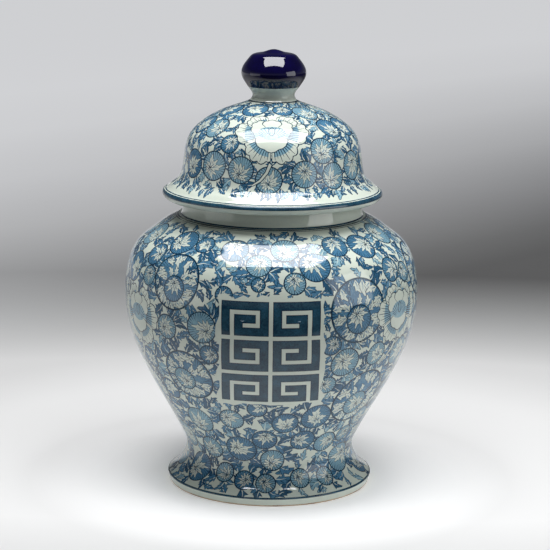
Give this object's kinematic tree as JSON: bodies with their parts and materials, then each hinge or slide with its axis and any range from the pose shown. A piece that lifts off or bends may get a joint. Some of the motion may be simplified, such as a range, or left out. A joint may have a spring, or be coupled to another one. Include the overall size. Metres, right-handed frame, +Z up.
{
  "type": "ginger jar",
  "caption": "Lidded porcelain jar with a rounded shoulder, narrow waist, flared foot, and a domed lift-off lid with brim and knob, painted in blue and white.",
  "frame": {"origin": "on the jar's axis, at the height of the surface it stands on", "axes": "+Z up along the jar's axis, front of the painted decoration towards -Y"},
  "size_m": [0.239, 0.239, 0.3554],
  "materials": {
    "bare_clay": "unglazed, fine matt fired clay",
    "painted_glaze": "cobalt-blue painting on greenish white under clear gloss glaze",
    "white_glaze": "clear gloss glaze over greenish white porcelain",
    "cobalt_glaze": "deep gloss blue-black glaze"
  },
  "bodies": {
    "jar": {"foot_ring": "bare_clay", "foot_skirt": "painted_glaze", "base_floor": "white_glaze", "lower_body": "painted_glaze", "upper_body": "painted_glaze", "neck_collar": "white_glaze"},
    "lid": {"lid_dome": "painted_glaze", "lid_bezel": "white_glaze", "knob_stem": "white_glaze", "knob": "cobalt_glaze"}
  },
  "joints": [
    {"name": "lid_lift", "type": "slide", "parent": "jar", "child": "lid", "axis": [0, 0, 1], "range_m": [0, 0.15]}
  ]
}
